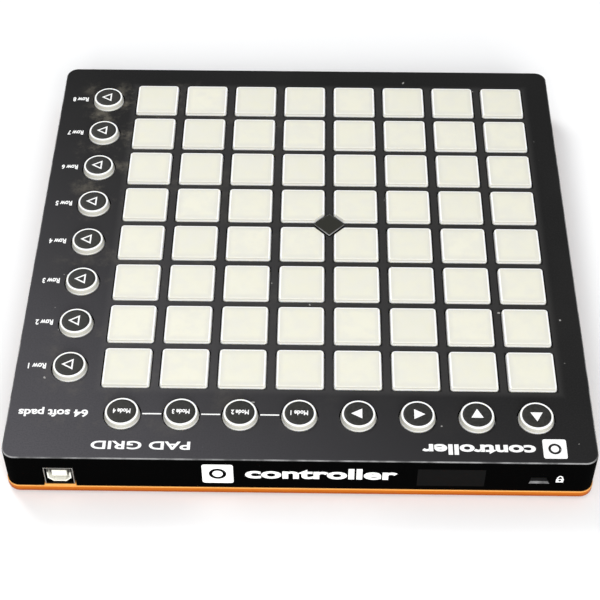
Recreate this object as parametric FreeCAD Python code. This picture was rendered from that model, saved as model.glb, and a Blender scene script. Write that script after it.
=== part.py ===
import FreeCAD, Part
import math
import os

# A square desktop controller for music: 64 square pads in an 8 by 8 grid, with a row of 8 round buttons
# behind them and a column of 8 more at their right.
#
# Frame: millimetres, origin on the table under the middle of the case, +Z up. -Y is the player's side,
# +Y is the rear wall with the USB socket, and +X is the column of round buttons.
#
# A black top cover drops over an orange base tray. Every key stands in its own aperture of the cover, above
# a silicone mat that lies on the circuit board. Each key is a solid of its own: a pad shares a node with its
# neighbour, and each round button has a node to itself.

V = FreeCAD.Vector

# ---- Case ----
CASE_HALF = 120.0            # half the footprint, at the base tray
LEDGE = 0.3                  # the tray stands this far proud of the cover all round
COVER_HALF = CASE_HALF - LEDGE
CORNER_R = 5.5               # upright corners of the cover
WALL = 2.4                   # side walls of the cover
PLATE_T = 2.5                # top plate of the cover
FOOT_H = 1.2                 # a foot below the tray
SPLIT_Z = 5.0                # where the cover meets the tray
PLATE_Z = 24.0               # top surface of the cover
TOP_EDGE = 0.7               # rounding round the top plate
BASE_EDGE = 0.8              # rounding under the tray
FIT = 0.15                   # gap between the tray's lip and the cover's wall
OVER = 1.0                   # cutting shapes run past a face by this much
CEILING = PLATE_Z - PLATE_T  # underside of the top plate
COVER_INNER = COVER_HALF - WALL

# ---- Key layout: one square 9 by 9 lattice, empty at its rear right corner ----
PITCH = 24.125
KEYS = 8
GRID_X, GRID_Y = -11.7, -11.0    # middle of the 64 pads
BUTTON_LINE = (KEYS + 1) * PITCH / 2   # the round buttons are this far from it

# ---- Keys ----
PAD_BASE = 20.0
PAD_TOP = 19.6
PAD_CORNER = 1.4
PAD_EDGE = 0.4               # rounding round a pad's top
PAD_RISE = 1.75              # pad top above the plate
PAD_GAP = 0.5                # clearance round a pad in its aperture
CENTRE_CHAMFER = 4.4         # cut corner of the four pads round the diamond
BUTTON_D = 14.6
BUTTON_TOP_D = 13.6
BUTTON_EDGE = 0.4
BUTTON_RISE = 2.4
BUTTON_GAP = 0.6
SHOULDER_Z = 20.7            # underside of a key, round its plunger
CONTACT_GAP = 1.3            # plunger to board; a key goes down 1.2
PAD_PLUNGER = 12.0
BUTTON_PLUNGER_D = 10.0
LIGHT_WELL_D = 7.0           # blind hole that spreads the light inside a key
LIGHT_WELL_TOP = 22.5
DIAMOND_HALF = 7.0           # the raised diamond between the four centre pads, centre to point
DIAMOND_RISE = 1.0
DIAMOND_EDGE = 0.3

# ---- Board and mat ----
BOARD_HALF = 115.0
BOARD_Z = 16.7               # underside of the board
BOARD_TOP = BOARD_Z + 1.6
BOARD_CORNER = 2.0
MAT_HALF = 108.0
MAT_TOP = BOARD_TOP + 1.0    # the mat's sheet, between the walls
MAT_WALL = 1.4
PAD_WINDOW = 15.0
BUTTON_WINDOW_D = 12.5
LED_W, LED_D, LED_H = 3.2, 2.8, 0.8
PROCESSOR = (50.0, 70.0, 14.0, 14.0, 1.4)    # x, y, width, depth and height of a chip
MEMORY = (50.0, 45.0, 5.2, 5.2, 1.6)
REGULATOR = (75.0, 88.0, 6.5, 3.5, 1.6)
DRIVER_SIZE = (10.0, 6.0, 1.6)
DRIVER_ROWS = (20.0, -20.0)

# ---- Fasteners ----
POST_AT = 112.0              # x or y of the case screws
POST_D = 7.0
PILLAR_D = 8.0
POST_Z = 9.0                 # the cover's posts stand on the tray's pillars here
PILOT_DEPTH = 8.0
CASE_PILOT_D = 3.0
CASE_HOLE_D = 3.3
COUNTERBORE_D = 6.4
HEAD_SEAT_Z = 5.0
CASE_SCREW = {"d": 2.9, "head_d": 5.6, "head_h": 2.0, "length": 10.0, "recess": 3.2}
BOARD_POST_D = 4.2
BOARD_PILOT_D = 2.1
BOARD_HOLE_D = 2.4
BOARD_SCREW = {"d": 2.0, "head_d": 3.8, "head_h": 1.4, "length": 4.4, "recess": 2.2}
HEAD_ROUND = 0.4             # rounding of a screw's head, over the head's height
TIP_BEVEL = 0.25             # bevel of a screw's tip, over the shank's diameter
RECESS_ARM = 0.22            # width of a recess's arms, over their length
RECESS_DEPTH = 0.6           # depth of a recess, over the head's height
ROOM = 0.8                   # hole in the board or mat over the size of the post through it

# ---- Tray ----
TRAY_FLOOR = 2.0
LIP_T, LIP_TOP = 1.5, 7.5
RIB_AT = (-75.0, -25.0, 25.0, 75.0)
RIB_T, RIB_TOP = 1.5, 6.0
FOOT_AT = 96.0
FOOT_D = 12.6
FOOT_RECESS = 0.8
FOOT_EDGE = 0.5

# ---- USB socket, lying under the board with its mouth in the rear wall ----
PORT_X = 97.5
PORT_W = 13.2                # notch in the cover's rear wall
PORT_TOP = 17.0
TAB_TOP = 5.6                # tongue of the tray that closes the notch from below
SHELL_W, SHELL_DEPTH, SHELL_T = 12.0, 16.0, 0.4
SHELL_LOW = 5.8
SHELL_FRONT = COVER_HALF - 0.3
SHELL_BACK = SHELL_FRONT - SHELL_DEPTH
SOCKET_Z = (SHELL_LOW + BOARD_Z) / 2
LINER_W, LINER_H, LINER_T, LINER_CUT = 9.6, 8.3, 0.55, 2.2
LINER_FRONT = SHELL_FRONT - 0.4
BLOCK_DEPTH = 4.5            # solid rear part of the insulator
TONGUE_W, TONGUE_H = 6.0, 3.6
TONGUE_FRONT = LINER_FRONT - 1.0
CONTACT_W, CONTACT_T = 1.0, 0.3
CONTACT_SPREAD = 1.3         # x of a contact from the socket's middle
TAIL_ROWS = (3.0, 1.5)       # the upper and the lower contacts' tails, from the shell's back
TAIL_TOP = BOARD_TOP + 0.8
TAIL_ROOM = 0.3              # hole in the board and the mat over the width of the tail through it

# ---- Security slot ----
LOCK_X, LOCK_Z = -96.9, 12.35
LOCK_W, LOCK_H = 7.0, 3.0
LOCK_FLARE = 0.7             # the slot widens by this at the outer face

REAR_NAMES = ["up", "down", "left", "right", "mode_1", "mode_2", "mode_3", "mode_4"]
SIDE_NAMES = ["row_%d" % (i + 1) for i in range(KEYS)]


# ---- Shape helpers ----
def box(x0, x1, y0, y1, z0, z1):
    return Part.makeBox(x1 - x0, y1 - y0, z1 - z0, V(x0, y0, z0))


def post(x, y, z0, z1, d):
    return Part.makeCylinder(d / 2, z1 - z0, V(x, y, z0))


def joined(shapes):
    """One solid from several that touch or overlap."""
    return shapes[0].fuse(shapes[1:]).removeSplitter()


def prism(points, along):
    """The polygon through these points, extruded along a vector."""
    return Part.Face(Part.makePolygon(points + points[:1])).extrude(along)


def rounded_outline(half, r, z):
    """A square wire about the origin with quarter circles at its corners, anticlockwise."""
    k = r * (1 - math.sqrt(0.5))
    arcs = []
    for sx, sy in ((1, -1), (1, 1), (-1, 1), (-1, -1)):
        on_side = V(sx * half, sy * (half - r), z)
        on_end = V(sx * (half - r), sy * half, z)
        middle = V(sx * (half - k), sy * (half - k), z)
        arcs.append((on_side, middle, on_end) if sx * sy > 0 else (on_end, middle, on_side))
    path = []
    for i, arc in enumerate(arcs):
        path.append(Part.Arc(*arc).toShape())
        path.append(Part.LineSegment(arc[2], arcs[(i + 1) % 4][0]).toShape())
    return Part.Wire(path)


def rounded_block(half, r, z0, z1):
    return Part.Face(rounded_outline(half, r, z0)).extrude(V(0, 0, z1 - z0))


def edges_at(shape, z):
    """Every edge that lies flat at height z."""
    return [e for e in shape.Edges if abs(e.BoundBox.ZMin - z) + abs(e.BoundBox.ZMax - z) < 1e-4]


def write(name, solids):
    """One STEP file from one solid or a group of separate ones."""
    solids = [s for shape in solids for s in shape.Solids]
    for s in solids:
        assert s.isValid() and s.Volume > 0, name
    shape = solids[0] if len(solids) == 1 else Part.makeCompound(solids)
    shape.exportStep(os.path.join("parts", name + ".step"))
    print(name, len(solids), "solid(s),", round(sum(s.Volume for s in solids)), "mm3")


# ---- Where things are ----
def key_x(column):
    return GRID_X + (column - (KEYS - 1) / 2) * PITCH


def key_y(row):
    return GRID_Y + (row - (KEYS - 1) / 2) * PITCH


def gap_x(column):
    """The line between this column and the one before it."""
    return GRID_X + (column - KEYS / 2) * PITCH


def gap_y(row):
    """The line between this row and the one before it."""
    return GRID_Y + (row - KEYS / 2) * PITCH


def pad_places():
    return [(column, row) for row in range(KEYS) for column in range(KEYS)]


def button_places():
    """Name, x and y of each round button: the rear row from -X, then the side column from the rear."""
    rear = [(name, key_x(i), GRID_Y + BUTTON_LINE) for i, name in enumerate(REAR_NAMES)]
    side = [(name, GRID_X + BUTTON_LINE, key_y(KEYS - 1 - i)) for i, name in enumerate(SIDE_NAMES)]
    return rear + side


def board_screw_places():
    crossings = [(gap_x(i), gap_y(j)) for i in (1, 4, 7) for j in (1, 4, 7)]
    return crossings + [(gap_x(KEYS), gap_y(KEYS))]


def case_screw_places():
    return [(x, y) for x in (-POST_AT, 0, POST_AT) for y in (-POST_AT, 0, POST_AT) if x or y]


def foot_places():
    return [(sx * FOOT_AT, sy * FOOT_AT) for sx in (-1, 1) for sy in (-1, 1)]


# ---- Keys ----
def faces_diamond(column, row):
    return column in (3, 4) and row in (3, 4)


def diamond_side(column, row, grow, z0, z1):
    """What comes off the corner of a centre pad, about the pad's middle; grow moves its face outwards."""
    sx = 1 if column == 3 else -1
    sy = 1 if row == 3 else -1
    far = PAD_BASE / 2 + grow + OVER
    near = PAD_TOP - CENTRE_CHAMFER + grow * math.sqrt(2) - far
    points = [V(sx * far, sy * far, z0), V(sx * near, sy * far, z0), V(sx * far, sy * near, z0)]
    return prism(points, V(0, 0, z1 - z0))


def light_well(x, y):
    return post(x, y, BOARD_TOP, LIGHT_WELL_TOP, LIGHT_WELL_D)


def pad(column, row):
    """A square key: upright below the plate, slightly tapered above it."""
    top = PLATE_Z + PAD_RISE
    sides = rounded_block(PAD_BASE / 2, PAD_CORNER, SHOULDER_Z, PLATE_Z)
    rim = [rounded_outline(PAD_BASE / 2, PAD_CORNER, PLATE_Z), rounded_outline(PAD_TOP / 2, PAD_CORNER, top)]
    block = sides.fuse(Part.makeLoft(rim, True, True))
    if faces_diamond(column, row):
        block = block.cut(diamond_side(column, row, 0, SHOULDER_Z - OVER, top + OVER))
    block = block.makeFillet(PAD_EDGE, edges_at(block, top))
    plunger = rounded_block(PAD_PLUNGER / 2, PAD_CORNER, BOARD_TOP + CONTACT_GAP, SHOULDER_Z)
    key = block.fuse(plunger).cut(light_well(0, 0))
    key.translate(V(key_x(column), key_y(row), 0))
    return key


def button(x, y):
    """A round key: upright below the plate, slightly conical above it."""
    top = PLATE_Z + BUTTON_RISE
    cone = Part.makeCone(BUTTON_D / 2, BUTTON_TOP_D / 2, BUTTON_RISE, V(x, y, PLATE_Z))
    cap = post(x, y, SHOULDER_Z, PLATE_Z, BUTTON_D).fuse(cone)
    cap = cap.makeFillet(BUTTON_EDGE, edges_at(cap, top))
    plunger = post(x, y, BOARD_TOP + CONTACT_GAP, SHOULDER_Z, BUTTON_PLUNGER_D)
    return cap.fuse(plunger).cut(light_well(x, y))


def write_keys():
    for row in range(KEYS):
        for column in range(0, KEYS, 2):
            name = "pads_row_%d_columns_%d_%d" % (KEYS - row, column + 1, column + 2)
            write(name, [pad(column, row), pad(column + 1, row)])
    for name, x, y in button_places():
        write("button_" + name, [button(x, y)])


# ---- Top cover ----
def pad_aperture(column, row):
    z0, z1 = CEILING - OVER, PLATE_Z + OVER
    hole = rounded_block(PAD_BASE / 2 + PAD_GAP, PAD_CORNER + PAD_GAP, z0, z1)
    if faces_diamond(column, row):
        hole = hole.cut(diamond_side(column, row, PAD_GAP, z0 - OVER, z1 + OVER))
    hole.translate(V(key_x(column), key_y(row), 0))
    return hole


def button_aperture(x, y):
    return post(x, y, CEILING - OVER, PLATE_Z + OVER, BUTTON_D + 2 * BUTTON_GAP)


def lock_outline(grow, y):
    x0, x1 = LOCK_X - LOCK_W / 2 - grow, LOCK_X + LOCK_W / 2 + grow
    z0, z1 = LOCK_Z - LOCK_H / 2 - grow, LOCK_Z + LOCK_H / 2 + grow
    corners = [V(x0, y, z0), V(x1, y, z0), V(x1, y, z1), V(x0, y, z1)]
    return Part.makePolygon(corners + corners[:1])


def lock_slot():
    """The security slot through the rear wall, flared towards the outside."""
    mouths = [lock_outline(LOCK_FLARE, COVER_HALF), lock_outline(0, COVER_HALF - LOCK_FLARE)]
    flare = Part.makeLoft(mouths, True)
    through = box(LOCK_X - LOCK_W / 2, LOCK_X + LOCK_W / 2, COVER_INNER - OVER, COVER_HALF,
                  LOCK_Z - LOCK_H / 2, LOCK_Z + LOCK_H / 2)
    return flare.fuse(through)


def diamond():
    """The raised diamond where the four centre pads meet, rooted in the top plate."""
    x, y, h, top = GRID_X, GRID_Y, DIAMOND_HALF, PLATE_Z + DIAMOND_RISE
    points = [V(x + h, y, CEILING), V(x, y + h, CEILING), V(x - h, y, CEILING), V(x, y - h, CEILING)]
    block = prism(points, V(0, 0, top - CEILING))
    return block.makeChamfer(DIAMOND_EDGE, edges_at(block, top))


def top_cover():
    shell = rounded_block(COVER_HALF, CORNER_R, SPLIT_Z, PLATE_Z)
    shell = shell.makeFillet(TOP_EDGE, edges_at(shell, PLATE_Z))
    cavity = rounded_block(COVER_INNER, CORNER_R - WALL, SPLIT_Z - OVER, CEILING)
    notch = box(PORT_X - PORT_W / 2, PORT_X + PORT_W / 2, COVER_INNER - OVER, COVER_HALF + OVER,
                SPLIT_Z - OVER, PORT_TOP)
    apertures = [pad_aperture(column, row) for column, row in pad_places()]
    apertures += [button_aperture(x, y) for _, x, y in button_places()]
    shell = shell.cut([cavity, notch, lock_slot()] + apertures)
    posts = [post(x, y, POST_Z, CEILING, POST_D) for x, y in case_screw_places()]
    posts += [post(x, y, BOARD_TOP, CEILING, BOARD_POST_D) for x, y in board_screw_places()]
    pilots = [post(x, y, POST_Z - OVER, POST_Z + PILOT_DEPTH, CASE_PILOT_D) for x, y in case_screw_places()]
    pilots += [post(x, y, BOARD_TOP - OVER, CEILING, BOARD_PILOT_D) for x, y in board_screw_places()]
    return [joined([shell, diamond()] + posts).cut(pilots)]


# ---- Base tray ----
def bottom_cover():
    lip_half = COVER_INNER - FIT
    inner = lip_half - LIP_T
    floor_z = FOOT_H + TRAY_FLOOR
    pan = rounded_block(CASE_HALF, CORNER_R + LEDGE, FOOT_H, SPLIT_Z)
    pan = pan.makeFillet(BASE_EDGE, edges_at(pan, FOOT_H))
    lip = rounded_block(lip_half, CORNER_R - WALL - FIT, floor_z, LIP_TOP)
    cavity = rounded_block(inner, CORNER_R - WALL - FIT - LIP_T, floor_z, LIP_TOP + OVER)
    port_room = box(PORT_X - PORT_W / 2 - OVER, PORT_X + PORT_W / 2 + OVER, inner - OVER, lip_half + OVER,
                    SPLIT_Z, LIP_TOP + OVER)
    pan = pan.fuse(lip).cut([cavity, port_room])
    tab = box(PORT_X - PORT_W / 2 + FIT, PORT_X + PORT_W / 2 - FIT, inner, COVER_HALF, SPLIT_Z, TAB_TOP)
    t = RIB_T / 2
    ribs = [box(-inner, inner, at - t, at + t, floor_z, RIB_TOP) for at in RIB_AT]
    ribs += [box(at - t, at + t, -inner, inner, floor_z, RIB_TOP) for at in RIB_AT]
    places = case_screw_places()
    pillars = [post(x, y, floor_z, POST_Z, PILLAR_D) for x, y in places]
    recesses = [post(x, y, 0, FOOT_H + FOOT_RECESS, FOOT_D + 2 * FIT) for x, y in foot_places()]
    holes = [post(x, y, 0, POST_Z + OVER, CASE_HOLE_D) for x, y in places]
    bores = [post(x, y, 0, HEAD_SEAT_Z, COUNTERBORE_D) for x, y in places]
    return [joined([pan, tab] + ribs + pillars).cut(recesses + holes + bores)]


def rubber_feet():
    feet = [post(x, y, 0, FOOT_H + FOOT_RECESS, FOOT_D) for x, y in foot_places()]
    return [foot.makeFillet(FOOT_EDGE, edges_at(foot, 0)) for foot in feet]


# ---- Fasteners ----
def screw(x, y, seat_z, size):
    """A cross recess screw driven upwards: its head hangs below seat_z and its shank stands above."""
    low, tip = seat_z - size["head_h"], seat_z + size["length"]
    head = post(x, y, low, seat_z, size["head_d"])
    head = head.makeFillet(size["head_h"] * HEAD_ROUND, edges_at(head, low))
    shank = post(x, y, seat_z, tip, size["d"])
    shank = shank.makeChamfer(size["d"] * TIP_BEVEL, edges_at(shank, tip))
    arm, half = size["recess"] / 2, size["recess"] * RECESS_ARM / 2
    floor = low + size["head_h"] * RECESS_DEPTH
    across = box(x - arm, x + arm, y - half, y + half, low - OVER, floor)
    upright = box(x - half, x + half, y - arm, y + arm, low - OVER, floor)
    return head.fuse(shank).cut([across, upright])


def case_screws():
    return [screw(x, y, HEAD_SEAT_Z, CASE_SCREW) for x, y in case_screw_places()]


def board_screws():
    return [screw(x, y, BOARD_Z, BOARD_SCREW) for x, y in board_screw_places()]


# ---- Circuit board and what is on it ----
def circuit_board():
    board = rounded_block(BOARD_HALF, BOARD_CORNER, BOARD_Z, BOARD_TOP)
    z0, z1 = BOARD_Z - OVER, BOARD_TOP + OVER
    cuts = [post(x, y, z0, z1, POST_D + ROOM) for x, y in case_screw_places()]
    cuts += [post(x, y, z0, z1, BOARD_HOLE_D) for x, y in board_screw_places()]
    cuts += [contact_tail(place, TAIL_ROOM / 2, z0, z1) for place in contact_places()]
    return [board.cut(cuts)]


def key_leds():
    places = [(key_x(column), key_y(row)) for column, row in pad_places()]
    places += [(x, y) for _, x, y in button_places()]
    return [box(x - LED_W / 2, x + LED_W / 2, y - LED_D / 2, y + LED_D / 2, BOARD_TOP, BOARD_TOP + LED_H)
            for x, y in places]


def board_chips():
    """The processor, its memory, a regulator and the lamp drivers, on the underside of the board."""
    drivers = [(gap_x(i), DRIVER_ROWS[i % 2]) + DRIVER_SIZE for i in range(1, KEYS) if i != 4]
    return [box(x - w / 2, x + w / 2, y - d / 2, y + d / 2, BOARD_Z - h, BOARD_Z)
            for x, y, w, d, h in [PROCESSOR, MEMORY, REGULATOR] + drivers]


def keypad_mat():
    """The silicone sheet, with a window under each key and walls between the keys up to the cover."""
    sheet = rounded_block(MAT_HALF, BOARD_CORNER, BOARD_TOP, MAT_TOP)
    t = MAT_WALL / 2
    walls = []
    for i in range(1, KEYS + 1):
        walls.append(box(gap_x(i) - t, gap_x(i) + t, -MAT_HALF, MAT_HALF, BOARD_TOP, CEILING))
        walls.append(box(-MAT_HALF, MAT_HALF, gap_y(i) - t, gap_y(i) + t, BOARD_TOP, CEILING))
    mat = joined([sheet] + walls)
    h = PAD_WINDOW / 2
    cuts = [box(key_x(column) - h, key_x(column) + h, key_y(row) - h, key_y(row) + h,
                BOARD_TOP - OVER, MAT_TOP + OVER) for column, row in pad_places()]
    cuts += [post(x, y, BOARD_TOP - OVER, MAT_TOP + OVER, BUTTON_WINDOW_D) for _, x, y in button_places()]
    cuts += [post(x, y, BOARD_TOP - OVER, CEILING + OVER, BOARD_POST_D + ROOM)
             for x, y in board_screw_places()]
    cuts += [contact_tail(place, TAIL_ROOM / 2, BOARD_TOP - OVER, MAT_TOP + OVER)
             for place in contact_places()]
    return [mat.cut(cuts)]


# ---- USB socket ----
def contact_places():
    """x, z of the strip and y of the tail for each of the four contacts, two above the tongue."""
    upper, lower = SOCKET_Z + TONGUE_H / 2, SOCKET_Z - TONGUE_H / 2 - CONTACT_T
    return [(PORT_X + side * CONTACT_SPREAD, z, SHELL_BACK + row)
            for z, row in zip((upper, lower), TAIL_ROWS) for side in (-1, 1)]


def contact_tail(place, grow, z0, z1):
    """The upright part of a contact, from z0 up to z1."""
    x, _, tail_y = place
    half = CONTACT_W / 2 + grow
    return box(x - half, x + half, tail_y - grow, tail_y + CONTACT_T + grow, z0, z1)


def contact(place):
    """A strip along the tongue that turns up through the board behind it."""
    x, z, tail_y = place
    half = CONTACT_W / 2
    strip = box(x - half, x + half, tail_y, TONGUE_FRONT - OVER, z, z + CONTACT_T)
    return strip.fuse(contact_tail(place, 0, z, TAIL_TOP)).removeSplitter()


def usb_contacts():
    return [contact(place) for place in contact_places()]


def usb_shell():
    """The folded steel box of the socket, open at the mouth and over the contact tails."""
    x0, x1, t = PORT_X - SHELL_W / 2, PORT_X + SHELL_W / 2, SHELL_T
    outer = box(x0, x1, SHELL_BACK, SHELL_FRONT, SHELL_LOW, BOARD_Z)
    mouth = box(x0 + t, x1 - t, SHELL_BACK + t, SHELL_FRONT + OVER, SHELL_LOW + t, BOARD_Z - t)
    tails = box(x0 + t, x1 - t, SHELL_BACK + t, SHELL_BACK + BLOCK_DEPTH, SOCKET_Z, BOARD_Z + OVER)
    return [outer.cut([mouth, tails])]


def liner_block(w, h, cut, y0, y1):
    """A block centred in the shell, with its two lower corners cut off."""
    z = SOCKET_Z
    points = [V(PORT_X - w / 2, y0, z + h / 2), V(PORT_X + w / 2, y0, z + h / 2),
              V(PORT_X + w / 2, y0, z - h / 2 + cut), V(PORT_X + w / 2 - cut, y0, z - h / 2),
              V(PORT_X - w / 2 + cut, y0, z - h / 2), V(PORT_X - w / 2, y0, z - h / 2 + cut)]
    return prism(points, V(0, y1 - y0, 0))


def usb_insulator():
    """The plastic in the socket: a block at the back, a D shaped liner and the tongue for the contacts."""
    half, t = SHELL_W / 2 - SHELL_T, SHELL_T
    back, block_front = SHELL_BACK + t, SHELL_BACK + t + BLOCK_DEPTH
    block = box(PORT_X - half, PORT_X + half, back, block_front, SHELL_LOW + t, BOARD_Z - t)
    liner = liner_block(LINER_W, LINER_H, LINER_CUT, back, LINER_FRONT)
    room = liner_block(LINER_W - 2 * LINER_T, LINER_H - 2 * LINER_T, LINER_CUT - LINER_T / 2,
                       block_front, LINER_FRONT + OVER)
    tongue = box(PORT_X - TONGUE_W / 2, PORT_X + TONGUE_W / 2, back, TONGUE_FRONT,
                 SOCKET_Z - TONGUE_H / 2, SOCKET_Z + TONGUE_H / 2)
    return [joined([block.fuse(liner).cut(room), tongue]).cut(usb_contacts())]


def main():
    os.makedirs("parts", exist_ok=True)
    for make in (top_cover, bottom_cover, rubber_feet, case_screws, board_screws, circuit_board,
                 key_leds, board_chips, keypad_mat, usb_shell, usb_insulator, usb_contacts):
        write(make.__name__, make())
    write_keys()


main()
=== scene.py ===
import math

import bmesh
import bpy
from mathutils import Matrix, Vector


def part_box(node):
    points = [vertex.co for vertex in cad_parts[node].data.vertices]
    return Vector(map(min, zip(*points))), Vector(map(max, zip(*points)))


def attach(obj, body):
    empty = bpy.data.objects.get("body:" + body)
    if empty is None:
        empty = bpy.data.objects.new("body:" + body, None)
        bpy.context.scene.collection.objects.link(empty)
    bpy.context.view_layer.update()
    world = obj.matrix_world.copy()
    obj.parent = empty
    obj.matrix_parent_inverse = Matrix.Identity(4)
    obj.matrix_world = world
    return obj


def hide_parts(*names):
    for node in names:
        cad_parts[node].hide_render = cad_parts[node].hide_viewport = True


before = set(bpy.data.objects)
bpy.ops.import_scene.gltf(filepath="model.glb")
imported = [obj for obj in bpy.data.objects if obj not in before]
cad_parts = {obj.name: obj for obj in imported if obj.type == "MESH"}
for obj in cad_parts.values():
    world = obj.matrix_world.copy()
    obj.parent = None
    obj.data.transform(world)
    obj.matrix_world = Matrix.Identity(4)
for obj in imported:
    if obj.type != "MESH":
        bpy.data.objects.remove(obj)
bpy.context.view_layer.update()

MM = 0.001

# ---- Driving sizes that model.glb doesn't give ----
DIAMOND_RISE = 1.0 * MM
DIAMOND_HALF = 7.0 * MM
PAD_TAPER = 0.2 * MM                   # a pad's side leans in by this much above the plate
PAD_CORNER = 1.4 * MM
PAD_EDGE = 0.45 * MM
PAD_CROWN = 0.16 * MM
PAD_CUT = 15.2 * MM / math.sqrt(2)     # middle of a centre pad to its cut face
PLUNGER_INSET = 4.0 * MM
BUTTON_TAPER = 0.5 * MM
BUTTON_EDGE = 0.35 * MM
BUTTON_PLUNGER_R = 5.0 * MM
DISC_R = 5.95 * MM
DISC_SUNK = 0.15 * MM                  # depth of the seat that holds a button's disc
DISC_PLAY = 0.06 * MM
DISC_DOME = 0.03 * MM
DISC_BEVEL = (0.06 * MM, 0.04 * MM)    # inset and drop of the disc's bevel
SEAT_BEVEL = (0.08 * MM, 0.05 * MM)    # the same at the seat's mouth
INK = 0.04 * MM                        # thickness of the printing
SHOULDER_DROP = 3.3 * MM               # plate to the underside of a key
WELL_R = 3.5 * MM                      # blind hole under a key, over its LED
WELL_DROP = 1.5 * MM                   # plate to the end of that hole
WELL_ROUND = 0.98                      # how round a pad's hole is: 1 is a true circle
SHELL_T = 0.4 * MM                     # sheet of the socket's shell
TONGUE_HALF = 3.05 * MM                # middle to the side of the socket's tongue
CAVITY_TOP = 2.0 * MM                  # middle to the top of the socket's cavity

BOLD = 0.035                           # how much bolder than the built-in face most words are

# ---- Printing on the plate, in millimetres: words, width, height, X, Y and their boldness ----
PLATE_WORDS = (
    ("controller", 45.6, 5.2, -71.9, 113.3, BOLD),
    ("PAD GRID", 40.0, 4.1, 64.0, 113.0, 0.022),
    ("64 soft pads", 28.5, 4.9, 101.0, 96.7, 0.030),
)
PLATE_BADGE = (4.75, -102.35, 112.5)   # half size, X and Y
ROW_WORD = (7.6, 3.0, 13.9, -0.9)      # width, height, and place from the button's middle
MODE_WORD = (7.2, 2.4)
MODE_BAR = (8.2, 0.3, -0.5)            # gap to the button's middle, half thickness, and Y from that middle
ARROW = (4.5, 5.0)
ROW_ARROW = (4.9, 5.8, 0.65)           # width, height and line
BADGE_SHARES = (0.18, 0.56, 0.34)      # corner radius and the ring's two radii, as shares of the half size

# ---- Printing on the rear wall: X, and how far below the plate (millimetres) ----
REAR_WORD = (61.5, 7.3, -8.8, 8.9)     # width and height first
REAR_BADGE = (6.3, 33.0, 9.6)          # half size first
PADLOCK = (-105.0, 10.6)
LABEL = (27.3, 11.3, -61.2, 10.65)     # width and height first
LABEL_CORNER = 0.6

# ---- Camera: relative to the middle of the pads' tops ----
CAMERA_FROM_PADS = Vector((6.61, 484.29, 494.67)) * MM
CAMERA_TURN = (0.72424, -0.00019, 3.15558)
LENS_MM = 91.30

PAIRS = sorted(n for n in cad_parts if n.startswith("pads_row_"))
BUTTONS = sorted(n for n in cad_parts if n.startswith("button_"))
PLATE_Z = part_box("top_cover")[1].z - DIAMOND_RISE
REAR_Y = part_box("top_cover")[1].y


def spans(node):
    """A node's size along X, Y and Z."""
    low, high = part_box(node)
    return high - low


def pads_middle():
    """The middle of the pads' tops."""
    low = Vector(min(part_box(n)[0][k] for n in PAIRS) for k in range(3))
    high = Vector(max(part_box(n)[1][k] for n in PAIRS) for k in range(3))
    return Vector(((low.x + high.x) / 2, (low.y + high.y) / 2, high.z))


GRID = pads_middle()
PAD_HALF = spans(PAIRS[0]).y / 2
PITCH = spans(PAIRS[0]).x - 2 * PAD_HALF
BUTTON_R = spans(BUTTONS[0]).x / 2
BUTTON_TOP_R = BUTTON_R - BUTTON_TAPER


# ---- Mesh helpers ----
def add_mesh(name, points, faces, material, smooth=True):
    mesh = bpy.data.meshes.new(name)
    mesh.from_pydata([tuple(p) for p in points], [], faces)
    mesh.polygons.foreach_set("use_smooth", [smooth] * len(mesh.polygons))
    mesh.materials.append(material)
    piece = bpy.data.objects.new(name, mesh)
    bpy.context.scene.collection.objects.link(piece)
    return piece


def skin(name, rings, material):
    """A closed surface through rings of equally many points, from the lowest ring to the last."""
    count = len(rings[0])
    points = [p for ring in rings for p in ring]
    faces = [tuple(reversed(range(count)))]
    for k in range(len(rings) - 1):
        a, b = k * count, (k + 1) * count
        for i in range(count):
            j = (i + 1) % count
            faces.append((a + i, a + j, b + j, b + i))
    faces.append(tuple(range(len(points) - count, len(points))))
    return add_mesh(name, points, faces, material)


def circle(x, y, z, r, steps=64):
    turns = [2 * math.pi * i / steps for i in range(steps)]
    return [Vector((x + r * math.cos(t), y + r * math.sin(t), z)) for t in turns]


def soft_polygon(sides, x, y, z, inset, r, steps=6):
    """A ring round (x, y): each side is the angle of its normal and its distance; r rounds the corners."""
    ring = []
    for k, (a, da) in enumerate(sides):
        b, db = sides[(k + 1) % len(sides)]
        turn = (b - a) % (2 * math.pi)
        da, db = da - inset - r, db - inset - r
        tangent = (db - da * math.cos(turn)) / math.sin(turn)
        cx = x + da * math.cos(a) - tangent * math.sin(a)
        cy = y + da * math.sin(a) + tangent * math.cos(a)
        for i in range(steps + 1):
            t = a + turn * i / steps
            ring.append(Vector((cx + r * math.cos(t), cy + r * math.sin(t), z)))
    return ring


def quarter(radius, steps=4):
    """(inset, drop) along a rounded edge, from its side to its top."""
    turns = [math.pi / 2 * i / steps for i in range(steps + 1)]
    return [(radius * (1 - math.cos(t)), radius * (1 - math.sin(t))) for t in turns]


def crown(ring, x, y, rise):
    """Rings that shrink towards (x, y) from a last ring and rise a little on the way."""
    rings = []
    for share in (0.94, 0.85, 0.7, 0.55, 0.4, 0.25, 0.12):
        lift = rise * (1 - share ** 2)
        rings.append([Vector((x + (p.x - x) * share, y + (p.y - y) * share, p.z + lift)) for p in ring])
    return rings


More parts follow.
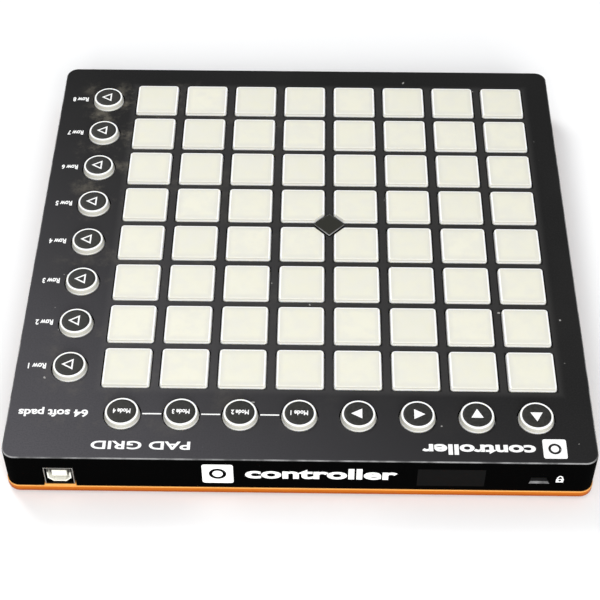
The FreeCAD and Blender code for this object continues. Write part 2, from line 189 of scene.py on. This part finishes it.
# ---- Node helpers ----
class Finish:
    """A Principled material whose inputs are fed from textures in the object's own coordinates."""

    def __init__(self, name, color, roughness, metallic=0.0):
        self.material = bpy.data.materials.new(name)
        self.material.use_nodes = True
        self.nodes = self.material.node_tree.nodes
        self.links = self.material.node_tree.links
        self.shader = self.nodes["Principled BSDF"]
        self.shader.inputs["Base Color"].default_value = (*color, 1)
        self.shader.inputs["Roughness"].default_value = roughness
        self.shader.inputs["Metallic"].default_value = metallic
        self.where = self.nodes.new("ShaderNodeTexCoord").outputs["Object"]

    def set(self, socket, value):
        self.shader.inputs[socket].default_value = value

    def feed(self, value, socket):
        if hasattr(value, "is_output"):
            self.links.new(value, socket)
        else:
            socket.default_value = value

    def to(self, socket, value):
        self.feed(value, self.shader.inputs[socket])

    def noise(self, scale, detail=3.0, rough=0.55, stretch=(1, 1, 1)):
        mapping = self.nodes.new("ShaderNodeMapping")
        mapping.inputs["Scale"].default_value = stretch
        self.links.new(self.where, mapping.inputs["Vector"])
        texture = self.nodes.new("ShaderNodeTexNoise")
        texture.inputs["Scale"].default_value = scale
        texture.inputs["Detail"].default_value = detail
        texture.inputs["Roughness"].default_value = rough
        self.links.new(mapping.outputs["Vector"], texture.inputs["Vector"])
        return texture.outputs["Fac"]

    def math(self, operation, a, b=0.0):
        node = self.nodes.new("ShaderNodeMath")
        node.operation = operation
        self.feed(a, node.inputs[0])
        self.feed(b, node.inputs[1])
        return node.outputs[0]

    def ramp(self, value, low, high, to_low=0.0, to_high=1.0):
        """A smooth step from to_low to to_high, while value goes from low to high."""
        node = self.nodes.new("ShaderNodeMapRange")
        node.interpolation_type = "SMOOTHSTEP"
        node.inputs["From Min"].default_value = low
        node.inputs["From Max"].default_value = high
        node.inputs["To Min"].default_value = to_low
        node.inputs["To Max"].default_value = to_high
        self.feed(value, node.inputs["Value"])
        return node.outputs["Result"]

    def edge(self, value, at, soft):
        """From 0 to 1 where value passes a limit."""
        return self.ramp(value, at - soft, at + soft)

    def larger_of(self, a, b):
        return self.math("MAXIMUM", self.math("ABSOLUTE", a), self.math("ABSOLUTE", b))

    def mix(self, share, a, b):
        node = self.nodes.new("ShaderNodeMix")
        node.data_type = "RGBA"
        self.feed(share, node.inputs["Factor"])
        for value, socket in ((a, node.inputs["A"]), (b, node.inputs["B"])):
            self.feed(value if hasattr(value, "is_output") else (*value, 1), socket)
        return node.outputs["Result"]

    def axes(self, source=None):
        node = self.nodes.new("ShaderNodeSeparateXYZ")
        self.links.new(source or self.where, node.inputs[0])
        return node.outputs

    def bump(self, height, strength, distance):
        node = self.nodes.new("ShaderNodeBump")
        node.inputs["Strength"].default_value = strength
        node.inputs["Distance"].default_value = distance
        self.feed(height, node.inputs["Height"])
        self.to("Normal", node.outputs["Normal"])

    def from_grid(self):
        """A point's place along X and Y, measured from the middle of the grid."""
        return [self.math("SUBTRACT", axis, middle) for axis, middle in zip(self.axes(), (GRID.x, GRID.y))]

    def pitches(self):
        """The same place counted in pitches."""
        return [self.math("DIVIDE", place, PITCH) for place in self.from_grid()]

    def from_key(self):
        """How far a point lies from the middle of its key, along X and along Y."""
        shares = [self.math("SUBTRACT", self.math("FRACT", place), 0.5) for place in self.pitches()]
        return [self.math("MULTIPLY", share, PITCH) for share in shares]

    def per_key(self):
        """A random number for each key's place."""
        node = self.nodes.new("ShaderNodeTexWhiteNoise")
        node.noise_dimensions = "2D"
        cell = self.nodes.new("ShaderNodeCombineXYZ")
        for place, socket in zip(self.pitches(), cell.inputs):
            self.links.new(self.math("FLOOR", place), socket)
        self.links.new(cell.outputs[0], node.inputs["Vector"])
        return node.outputs["Value"]


# ---- Finishes ----
def cover_finish():
    """Charcoal soft-touch on the plate, black below it, with grain, dust, a painted sheen, painted shade
    along the pads and a painted highlight on the rounded top edge.
    """
    f = Finish("cover_black", (0.015, 0.015, 0.015), 0.45)
    f.set("Specular IOR Level", 0.015)
    up = f.axes(f.nodes.new("ShaderNodeNewGeometry").outputs["True Normal"])[2]
    x, y, _ = f.axes()
    # Painted sheen: the plate is painted paler and bluer towards +X and +Y, standing in for the key light's
    # reflection.
    painted_sheen_and_ink_fade = f.math("POWER", f.ramp(f.math("ADD", x, y), -0.10, 0.30), 1.7)
    charcoal = f.mix(painted_sheen_and_ink_fade, (0.0140, 0.0140, 0.0137), (0.0960, 0.0930, 0.1025))
    grain = f.ramp(f.noise(1500, 2), 0.35, 0.75)
    charcoal = f.mix(f.math("MULTIPLY", grain, 0.3), charcoal, (0.032, 0.031, 0.033))
    smudge = f.ramp(f.noise(16, 3, 0.5), 0.45, 0.75)
    charcoal = f.mix(f.math("MULTIPLY", smudge, 0.2), charcoal, (0.035, 0.034, 0.033))
    charcoal = f.mix(f.math("MULTIPLY", dust(f), 0.85), charcoal, (0.170, 0.155, 0.125))
    # Painted shade: the plate is painted paler along the middle of each strip between pads, so it stays
    # darker beside the pads.
    charcoal = f.mix(f.math("MULTIPLY", pad_edge_shade(f), 0.17), charcoal, (0.115, 0.112, 0.110))
    specks = f.ramp(f.noise(260, 1), 0.775, 0.80)
    charcoal = f.mix(f.math("MULTIPLY", specks, 0.7), charcoal, (0.45, 0.44, 0.42))
    off_x, off_y = [f.math("ABSOLUTE", place) for place in f.from_grid()]
    diamond = f.ramp(f.math("ADD", off_x, off_y), DIAMOND_HALF, DIAMOND_HALF + 0.1 * MM, 1.0, 0.0)
    charcoal = f.mix(diamond, charcoal, (0.032, 0.032, 0.027))
    # Painted highlight: the rounded top edge of the case is painted grey, standing in for the light it
    # reflects.
    painted_edge_highlight = f.mix(f.ramp(f.noise(120, 3), 0.35, 0.65), (0.09, 0.09, 0.09), (0.28, 0.28, 0.28))
    black = f.mix(f.ramp(up, 0.20, 0.60), (0.0006, 0.0006, 0.0006), painted_edge_highlight)
    plate = f.ramp(up, 0.90, 0.985)
    f.to("Base Color", f.mix(plate, black, charcoal))
    f.to("Roughness", f.math("SUBTRACT", 0.95, f.math("MULTIPLY", plate, 0.53)))
    f.bump(f.noise(2600, 2), 0.25, 0.00008)
    return f.material


def dust(f):
    """How much brownish dust lies on the plate: patches, more of them by the column of buttons."""
    x, y, _ = f.axes()
    share = f.ramp(f.noise(46, 6, 0.72), 0.50, 0.76)
    side = f.ramp(x, -0.03, 0.090, 0.12, 1.0)
    corner = f.ramp(f.math("SUBTRACT", x, y), 0.05, 0.18, 0.35, 1.0)
    inside = f.ramp(f.larger_of(x, y), 0.100, 0.114, 1.0, 0.0)
    for limit in (side, corner, inside):
        share = f.math("MULTIPLY", share, limit)
    return share


def pad_edge_shade(f):
    """The strips of plate between the pads, painted paler along their middle: painted shade keeps the plate
    darker beside the pads.
    """
    strip = f.ramp(f.larger_of(*f.from_key()), PAD_HALF + 0.3 * MM, PAD_HALF + 1.0 * MM)
    outside = f.edge(f.larger_of(*f.from_grid()), 4 * PITCH, 2.0 * MM)
    return f.math("MULTIPLY", strip, f.math("SUBTRACT", 1.0, outside))


def tray_finish():
    """Orange plastic: a painted highlight along its upper edge, and painted shade that darkens it towards the
    floor.
    """
    f = Finish("base_orange", (0.50, 0.10, 0.003), 0.4)
    f.set("Specular IOR Level", 0.06)
    up = f.axes(f.nodes.new("ShaderNodeNewGeometry").outputs["True Normal"])[2]
    z = f.axes()[2]
    low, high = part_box("bottom_cover")[0].z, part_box("top_cover")[0].z
    cloud = f.ramp(f.noise(30, 3), 0.35, 0.7)
    orange = f.mix(cloud, (0.27, 0.047, 0.001), (0.30, 0.053, 0.001))
    # Painted shade: the orange is painted darker towards the floor, standing in for the light falling from
    # above.
    orange = f.mix(f.ramp(z, low, high), orange, (0.54, 0.145, 0.008))
    # Painted highlight: up-facing faces and the top of the band are painted pale orange, standing in for the
    # light they catch.
    edge = f.math("MAXIMUM", f.ramp(up, 0.4, 0.8), f.ramp(z, high - 0.7 * MM, high - 0.2 * MM))
    orange = f.mix(edge, orange, (0.90, 0.43, 0.12))
    f.to("Base Color", orange)
    f.to("Roughness", f.math("ADD", 0.36, f.math("MULTIPLY", cloud, 0.1)))
    f.bump(f.noise(3200, 2), 0.2, 0.00006)
    return f.material


def silicone_finish(name, is_round):
    """Milky silicone: cream, with painted shade towards a key's edge, a painted highlight along the edge,
    painted shade on the wall and a painted highlight at the wall's foot.
    """
    f = Finish(name, (0.82, 0.80, 0.70), 0.55)
    dx, dy = f.from_key()
    if is_round:
        out = f.math("SQRT", f.math("ADD", f.math("POWER", dx, 2), f.math("POWER", dy, 2)))
        white = f.edge(out, DISC_R, 0.05 * MM)
        wall = f.edge(out, BUTTON_TOP_R, 0.1 * MM)
        foot_top = 0.5 * MM
    else:
        out = f.larger_of(dx, dy)
        thin = f.math("MAXIMUM", f.math("ABSOLUTE", dx), f.math("MULTIPLY", dy, -1.0))
        white = f.edge(thin, PAD_HALF - 0.95 * MM, 0.15 * MM)
        wall = f.edge(dy, PAD_HALF - 0.3 * MM, 0.1 * MM)
        foot_top = 0.9 * MM
    cream = f.mix(f.per_key(), (0.735, 0.725, 0.612), (0.775, 0.762, 0.646))
    cream = f.mix(f.ramp(f.noise(130, 4, 0.6), 0.38, 0.66), cream, (0.735, 0.725, 0.635))
    # Painted shade: the face is painted greyer towards a key's edge, as a crowned face turns from the light.
    greyer = f.ramp(out, 0.62 * PAD_HALF, 0.92 * PAD_HALF, 0.0, 0.6)
    cream = f.mix(greyer, cream, (0.65, 0.64, 0.585))
    # Painted highlight: a near-white rim along a pad's two sides and its -Y edge, and on the ring round a
    # button's disc.
    cream = f.mix(white, cream, (0.96, 0.96, 0.94))
    # Painted shade: a key's wall is painted darker, all round a button and on the +Y wall of a pad.
    cream = f.mix(wall, cream, (0.62, 0.61, 0.54))
    # Painted highlight: the foot of a key's wall, just above the plate, is painted near-white.
    foot = f.ramp(f.axes()[2], PLATE_Z + foot_top / 2, PLATE_Z + foot_top, 1.0, 0.0)
    f.to("Base Color", f.mix(foot, cream, (0.90, 0.89, 0.84)))
    f.to("Roughness", f.ramp(f.noise(300, 2), 0.3, 0.7, 0.48, 0.60))
    f.set("Subsurface Weight", 0.2)
    f.set("Subsurface Radius", (0.9, 0.8, 0.6))
    f.set("Subsurface Scale", 0.0006)
    f.bump(f.noise(1800, 2), 0.12, 0.00006)
    return f.material


def disc_finish():
    f = Finish("disc_black", (0.024, 0.024, 0.021), 0.5)
    f.set("Specular IOR Level", 0.2)
    grain = f.ramp(f.noise(900, 3), 0.3, 0.7)
    f.to("Base Color", f.mix(grain, (0.019, 0.019, 0.017), (0.030, 0.030, 0.027)))
    f.to("Roughness", f.math("ADD", 0.42, f.math("MULTIPLY", grain, 0.12)))
    f.bump(f.noise(2400, 2), 0.15, 0.00005)
    return f.material


def ink_finish(name, color):
    """Screen printing, slightly uneven and rubbed through in spots."""
    f = Finish(name, color, 0.55)
    thin = f.ramp(f.noise(1100, 3), 0.30, 0.62, 0.82, 1.0)
    painted_sheen_and_ink_fade = tuple(0.80 * c for c in color)
    f.to("Base Color", f.mix(thin, painted_sheen_and_ink_fade, color))
    f.set("Specular IOR Level", 0.3)
    f.to("Roughness", f.ramp(f.noise(700, 2), 0.3, 0.7, 0.5, 0.62))
    return f.material


def metal_finish(name, color, roughness, streak):
    """Drawn or tumbled metal, with fine lines along one axis."""
    f = Finish(name, color, roughness, 1.0)
    lines = f.noise(900, 3, 0.6, streak)
    f.to("Roughness", f.ramp(lines, 0.3, 0.7, roughness - 0.07, roughness + 0.1))
    f.to("Base Color", f.mix(lines, tuple(0.82 * c for c in color), color))
    f.bump(lines, 0.15, 0.00003)
    return f.material


def moulded_finish(name, dark, light, roughness, specular=0.5):
    """Moulded plastic, rubber, film or laminate: two close shades and a fine grain."""
    f = Finish(name, light, roughness)
    f.set("Specular IOR Level", specular)
    cloud = f.ramp(f.noise(175, 3), 0.35, 0.7)
    f.to("Base Color", f.mix(cloud, dark, light))
    f.to("Roughness", f.math("ADD", roughness - 0.05, f.math("MULTIPLY", cloud, 0.1)))
    f.bump(f.noise(1400, 2), 0.2, 0.00005)
    return f.material


def socket_finish(name, bare, dark, metallic):
    """Steel or plastic of the socket: bare at the mouth, with painted shade in its depth and under its top.
    """
    f = Finish(name, bare, 0.4, metallic)
    low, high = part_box("usb_shell")
    middle, inner = (low + high) / 2, (high - low) / 2 - Vector((SHELL_T,) * 3)
    x, y, z = f.axes()
    off_x = f.math("ABSOLUTE", f.math("SUBTRACT", x, middle.x))
    off_z = f.math("SUBTRACT", z, middle.z)
    # Painted shade: the shell's inside, the cavity's depth and the part above the tongue are painted dark.
    if metallic:
        past_x = f.ramp(off_x, inner.x, inner.x + 0.05 * MM)
        past_z = f.ramp(off_z, inner.z, inner.z + 0.05 * MM)
        unshaded = f.math("MAXIMUM", f.math("MULTIPLY", past_x, 0.6), past_z)
    else:
        deep = f.ramp(y, high.y - 4.6 * MM, high.y - 1.8 * MM)
        beside = f.edge(off_x, TONGUE_HALF, 0.03 * MM)
        above = f.math("MULTIPLY", f.ramp(off_z, 0.4 * MM, 3.2 * MM), beside)
        above = f.math("MAXIMUM", above, f.edge(off_z, CAVITY_TOP, 0.1 * MM))
        unshaded = f.math("MULTIPLY", deep, f.math("SUBTRACT", 1.0, above))
    f.to("Base Color", f.mix(unshaded, dark, bare))
    f.to("Roughness", f.ramp(f.noise(900, 3, 0.6, (6, 1, 6)), 0.3, 0.7, 0.32, 0.46))
    f.bump(f.noise(1800, 2), 0.15, 0.00004)
    return f.material


WHITE_INK = ink_finish("ink_white", (0.94, 0.94, 0.93))
SILICONE = silicone_finish("key_silicone_square", False)
SILICONE_ROUND = silicone_finish("key_silicone_round", True)
DISC = disc_finish()


def dress_case():
    """Gives every CAD node that stays its material."""
    steel = metal_finish("screw_steel", (0.30, 0.30, 0.31), 0.35, (1, 1, 6))
    finishes = {
        "top_cover": cover_finish(),
        "bottom_cover": tray_finish(),
        "rubber_feet": moulded_finish("foot_rubber", (0.012,) * 3, (0.022,) * 3, 0.75),
        "case_screws": steel,
        "board_screws": steel,
        "circuit_board": moulded_finish("board_laminate", (0.008, 0.09, 0.03), (0.015, 0.13, 0.05), 0.4),
        "key_leds": moulded_finish("led_lens", (0.62, 0.60, 0.42), (0.74, 0.72, 0.55), 0.25),
        "board_chips": moulded_finish("chip_black", (0.012,) * 3, (0.020,) * 3, 0.5),
        "keypad_mat": moulded_finish("mat_silicone", (0.46, 0.46, 0.44), (0.56, 0.56, 0.54), 0.6),
        "usb_shell": socket_finish("socket_steel", (0.52, 0.51, 0.48), (0.02, 0.02, 0.02), 1.0),
        "usb_insulator": socket_finish("socket_plastic", (0.90, 0.89, 0.80), (0.03, 0.028, 0.02), 0.0),
        "usb_contacts": metal_finish("contact_metal", (0.85, 0.62, 0.28), 0.25, (1, 8, 1)),
    }
    for node, material in finishes.items():
        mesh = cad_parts[node].data
        mesh.materials.clear()
        mesh.materials.append(material)


# ---- Keys ----
def pad_sides(row, column):
    """The pad's four sides, and a fifth where the pad faces the diamond at the middle of the grid."""
    sides = [(math.radians(90 * k), PAD_HALF) for k in range(4)]
    if row in (4, 5) and column in (4, 5):
        towards = {(5, 4): 45, (5, 5): 135, (4, 5): 225, (4, 4): 315}[(row, column)]
        sides.append((math.radians(towards), PAD_CUT + PAD_TAPER))
    return sorted(sides)


def pad_well(sides, x, y, low):
    """The rings of a pad's hole over its LED, with as many points as the pad's own rings."""
    sides = [(angle, WELL_R) for angle, _ in sides]
    return [soft_polygon(sides, x, y, z, 0, WELL_ROUND * WELL_R) for z in (PLATE_Z - WELL_DROP, low)]


def make_pad(name, row, column, x, y, low, top):
    """One square key: hollow plunger, straight skirt, tapered top with a soft edge and a crowned face."""
    sides = pad_sides(row, column)
    shoulder = PLATE_Z - SHOULDER_DROP
    steps = [(PLUNGER_INSET, low), (PLUNGER_INSET, shoulder), (0, shoulder), (0, PLATE_Z)]
    crest = top - PAD_CROWN
    steps += [(PAD_TAPER + inset, crest - drop) for inset, drop in quarter(PAD_EDGE)]
    rings = pad_well(sides, x, y, low)
    rings += [soft_polygon(sides, x, y, z, inset, PAD_CORNER) for inset, z in steps]
    rings += crown(rings[-1], x, y, PAD_CROWN)
    return skin(name, rings, SILICONE)


def make_pads():
    """Two pads for each node, which model.glb names after its row and its two columns."""
    for node in PAIRS:
        words = node.split("_")
        row, columns = int(words[2]), [int(w) for w in words[4:]]
        low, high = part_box(node)
        y = (low.y + high.y) / 2
        for column, x in zip(columns, (low.x + PAD_HALF, high.x - PAD_HALF)):
            pad = make_pad("pad_%d_%d" % (row, column), row, column, x, y, low.z, high.z)
            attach(pad, node)
            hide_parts(node)


def make_button(node, x, y, low, top):
    """A round key with a hollow plunger and a narrow rim round a shallow seat for its disc."""
    shoulder = PLATE_Z - SHOULDER_DROP
    steps = [(WELL_R, PLATE_Z - WELL_DROP), (WELL_R, low)]
    steps += [(BUTTON_PLUNGER_R, low), (BUTTON_PLUNGER_R, shoulder)]
    steps += [(BUTTON_R, shoulder), (BUTTON_R, PLATE_Z)]
    steps += [(BUTTON_TOP_R - inset, top - drop) for inset, drop in quarter(BUTTON_EDGE)]
    seat = DISC_R + DISC_PLAY
    out, drop = SEAT_BEVEL
    steps += [(seat + out, top), (seat, top - drop), (seat, top - DISC_SUNK)]
    piece = skin(node + "_cap", [circle(x, y, z, r) for r, z in steps], SILICONE_ROUND)
    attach(piece, node)
    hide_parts(node)


def make_disc(node, x, y, top):
    """The dark disc in the button's seat, level with the rim and slightly domed."""
    inset, drop = DISC_BEVEL
    steps = [(DISC_R, top - DISC_SUNK), (DISC_R, top - DISC_DOME - drop), (DISC_R - inset, top - DISC_DOME)]
    steps += [(DISC_R * share, top - DISC_DOME * share) for share in (0.8, 0.5, 0.2)]
    disc = skin(node + "_disc", [circle(x, y, z, r) for r, z in steps], DISC)
    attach(disc, node)


# ---- Printing ----
def closed_curve(name, loops, place):
    """Filled outlines, holes included, lying on the plane that place gives."""
    curve = bpy.data.curves.new(name, "CURVE")
    curve.dimensions = "2D"
    curve.fill_mode = "BOTH"
    curve.extrude = INK / 2
    for loop in loops:
        spline = curve.splines.new("POLY")
        spline.points.add(len(loop) - 1)
        for point, (x, y) in zip(spline.points, loop):
            point.co = (x, y, 0, 1)
        spline.use_cyclic_u = True
    piece = bpy.data.objects.new(name, curve)
    bpy.context.scene.collection.objects.link(piece)
    piece.matrix_world = place
    return piece


def lettering(words, width, height, place, weight=BOLD):
    """Words in the built-in face, fitted to a width and height in millimetres, centred on a plane."""
    curve = bpy.data.curves.new("word", "FONT")
    curve.body = words
    curve.size = 1.0
    curve.offset = weight
    curve.resolution_u = 4
    curve.extrude = 0.5
    piece = bpy.data.objects.new("word", curve)
    bpy.context.scene.collection.objects.link(piece)
    bpy.context.view_layer.update()
    box = [Vector(c) for c in piece.bound_box]
    low = Vector(min(c[k] for c in box) for k in range(3))
    size = Vector(max(c[k] for c in box) for k in range(3)) - low
    middle = Matrix.Translation(-(low + size / 2))
    fitted = Matrix.Diagonal((width * MM / size.x, height * MM / size.y, INK / size.z, 1))
    piece.matrix_world = place @ fitted @ middle
    return piece


def merged(name, pieces, material, body):
    """One mesh from several curves and letters, riding on a body."""
    graph = bpy.context.evaluated_depsgraph_get()
    work = bmesh.new()
    for piece in pieces:
        mesh = bpy.data.meshes.new_from_object(piece.evaluated_get(graph))
        mesh.transform(piece.matrix_world)
        work.from_mesh(mesh)
        bpy.data.objects.remove(piece)
    bmesh.ops.remove_doubles(work, verts=work.verts, dist=1e-6)
    mesh = bpy.data.meshes.new(name)
    work.to_mesh(mesh)
    work.free()
    mesh.materials.clear()
    mesh.materials.append(material)
    piece = bpy.data.objects.new(name, mesh)
    bpy.context.scene.collection.objects.link(piece)
    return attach(piece, body)


def on_top(x, y, z):
    """A plane facing up whose letters read from the player's side; its middle is half the ink's height up."""
    return Matrix.Translation((x, y, z + INK / 2))


def on_plate(x, y):
    """The same on the plate, with X and Y in millimetres."""
    return on_top(x * MM, y * MM, PLATE_Z)


def on_rear(x, drop):
    """A plane on the rear wall whose letters read from behind; X and the drop are in millimetres."""
    facing = Matrix(((-1, 0, 0, 0), (0, 0, 1, 0), (0, 1, 0, 0), (0, 0, 0, 1)))
    return Matrix.Translation((x * MM, REAR_Y + INK / 2, PLATE_Z - drop * MM)) @ facing


def round_square(half, r):
    sides = [(math.radians(90 * k), half) for k in range(4)]
    return [(p.x, p.y) for p in soft_polygon(sides, 0, 0, 0, 0, r, 5)]


def ring_loop(r, steps=40):
    return [(p.x, p.y) for p in circle(0, 0, 0, r, steps)]


def triangle(width, height, degrees, inset=0.0):
    """A triangle in millimetres, its centroid at the origin; inset moves its sides in."""
    width, height, inset = width * MM, height * MM, inset * MM
    tip, back, half = 2 * width / 3, -width / 3, height / 2
    lean = math.hypot(width, half) / half
    points = [(tip - inset * lean, 0), (back + inset, 1), (back + inset, -1)]
    slope = half / width
    c, s = math.cos(math.radians(degrees)), math.sin(math.radians(degrees))
    loop = []
    for x, side in points:
        y = side * (tip - inset * lean - x) * slope
        loop.append((x * c - y * s, x * s + y * c))
    return loop


def symbol(node, x, y, top):
    """What is printed on a button's disc."""
    place = on_top(x, y, top)
    kind = node[len("button_"):]
    arrows = {"up": 90, "down": 270, "left": 180, "right": 0}
    if kind in arrows:
        mark = closed_curve("mark", [triangle(*ARROW, arrows[kind])], place)
    elif kind.startswith("mode_"):
        mark = lettering("Mode " + kind[-1], *MODE_WORD, place)
    else:
        width, height, line = ROW_ARROW
        mark = closed_curve("mark", [triangle(width, height, 0), triangle(width, height, 0, line)], place)
    merged(node + "_mark", [mark], WHITE_INK, node)


def make_buttons():
    """Returns the middle of each button by name."""
    middles = {}
    for node in BUTTONS:
        low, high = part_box(node)
        x, y = (low.x + high.x) / 2, (low.y + high.y) / 2
        make_button(node, x, y, low.z, high.z)
        make_disc(node, x, y, high.z)
        symbol(node, x, y, high.z)
        middles[node] = (x, y)
    return middles


def badge(half, place):
    """A plain rounded square with a ring left out of it."""
    half = half * MM
    corner, outer, inner = [share * half for share in BADGE_SHARES]
    return closed_curve("badge", [round_square(half, corner), ring_loop(outer), ring_loop(inner)], place)


def mode_bars(middles):
    """The lines that join the mode buttons."""
    gap, half_thick, off = [size * MM for size in MODE_BAR]
    modes = [middles["button_mode_%d" % k] for k in range(1, 5)]
    bars = []
    for (x0, y), (x1, _) in zip(modes, modes[1:]):
        half = (x1 - x0) / 2 - gap
        bar = [(-half, -half_thick), (half, -half_thick), (half, half_thick), (-half, half_thick)]
        bars.append(closed_curve("bar", [bar], on_top((x0 + x1) / 2, y + off, PLATE_Z)))
    return bars


def row_words(middles):
    width, height, off_x, off_y = ROW_WORD
    words = []
    for k in range(1, 9):
        x, y = middles["button_row_%d" % k]
        place = on_top(x + off_x * MM, y + off_y * MM, PLATE_Z)
        words.append(lettering("Row %d" % k, width, height, place))
    return words


def print_plate(middles):
    ink = [badge(PLATE_BADGE[0], on_plate(*PLATE_BADGE[1:]))]
    for words, width, height, x, y, weight in PLATE_WORDS:
        ink.append(lettering(words, width, height, on_plate(x, y), weight))
    ink += mode_bars(middles) + row_words(middles)
    merged("plate_printing", ink, WHITE_INK, "housing")


def padlock(place):
    """A generic closed padlock: a body with a keyhole under an open bow. Sizes are in millimetres."""
    body = [(-1.5, -2.2), (1.5, -2.2), (1.5, 0.1), (-1.5, 0.1)]
    turns = [math.pi * i / 12 for i in range(13)]
    bow_out = [(1.3 * math.cos(t), 0.1 + 2.1 * math.sin(t)) for t in turns]
    bow_in = [(0.8 * math.cos(t), 0.1 + 1.5 * math.sin(t)) for t in reversed(turns)]
    keyhole = [(x, y - 1.0) for x, y in ring_loop(0.6, 16)]
    loops = [[(x * MM, y * MM) for x, y in loop] for loop in (body, bow_out + bow_in, keyhole)]
    return closed_curve("padlock", loops, place)


def print_rear():
    ink = [badge(REAR_BADGE[0], on_rear(*REAR_BADGE[1:])),
           lettering("controller", *REAR_WORD[:2], on_rear(*REAR_WORD[2:])),
           padlock(on_rear(*PADLOCK))]
    merged("rear_printing", ink, WHITE_INK, "housing")
    film = moulded_finish("label_film", (0.0010,) * 3, (0.0020,) * 3, 0.6, 0.05)
    width, height, x, drop = LABEL
    outline = [(px, py * height / width) for px, py in round_square(width * MM / 2, LABEL_CORNER * MM)]
    merged("rear_label", [closed_curve("label", [outline], on_rear(x, drop))], film, "housing")


# ---- Stage ----
def make_floor():
    f = Finish("floor", (0.96, 0.96, 0.96), 0.85)
    f.to("Base Color", f.mix(f.noise(3, 2), (0.95, 0.95, 0.95), (0.97, 0.97, 0.97)))
    half = 6.0
    corners = [(-half, -half, 0), (half, -half, 0), (half, half, 0), (-half, half, 0)]
    add_mesh("floor", corners, [(0, 1, 2, 3)], f.material, False)


def soft_light(name, place, aim, size, watts):
    data = bpy.data.lights.new(name, "AREA")
    data.shape = "RECTANGLE"
    data.size, data.size_y = size
    data.energy = watts
    lamp = bpy.data.objects.new(name, data)
    bpy.context.scene.collection.objects.link(lamp)
    lamp.location = place
    lamp.rotation_euler = (Vector(aim) - Vector(place)).to_track_quat("-Z", "Y").to_euler()


def make_light():
    """A key from the front left, a wide fill from behind, an overhead panel and a faint sky."""
    world = bpy.data.worlds.new("studio")
    world.use_nodes = True
    world.node_tree.nodes["Background"].inputs["Color"].default_value = (0.95, 0.97, 1.0, 1)
    world.node_tree.nodes["Background"].inputs["Strength"].default_value = 0.25
    bpy.context.scene.world = world
    soft_light("key", (0.75, -0.95, 1.35), (0, 0, 0), (0.6, 0.6), 12)
    soft_light("fill", (-0.2, 1.6, 0.95), (0, 0, 0), (1.4, 1.2), 36)
    soft_light("overhead", (0.0, 0.1, 1.6), (0, 0, 0), (1.6, 1.6), 7.5)


def make_camera():
    data = bpy.data.cameras.new("camera")
    data.sensor_width = 36
    data.lens = LENS_MM
    camera = bpy.data.objects.new("camera", data)
    bpy.context.scene.collection.objects.link(camera)
    camera.location = GRID + CAMERA_FROM_PADS
    camera.rotation_euler = CAMERA_TURN
    bpy.context.scene.camera = camera


make_camera()
make_light()
make_floor()
dress_case()
make_pads()
button_middles = make_buttons()
print_plate(button_middles)
print_rear()
bpy.context.scene.view_settings.view_transform = "Standard"
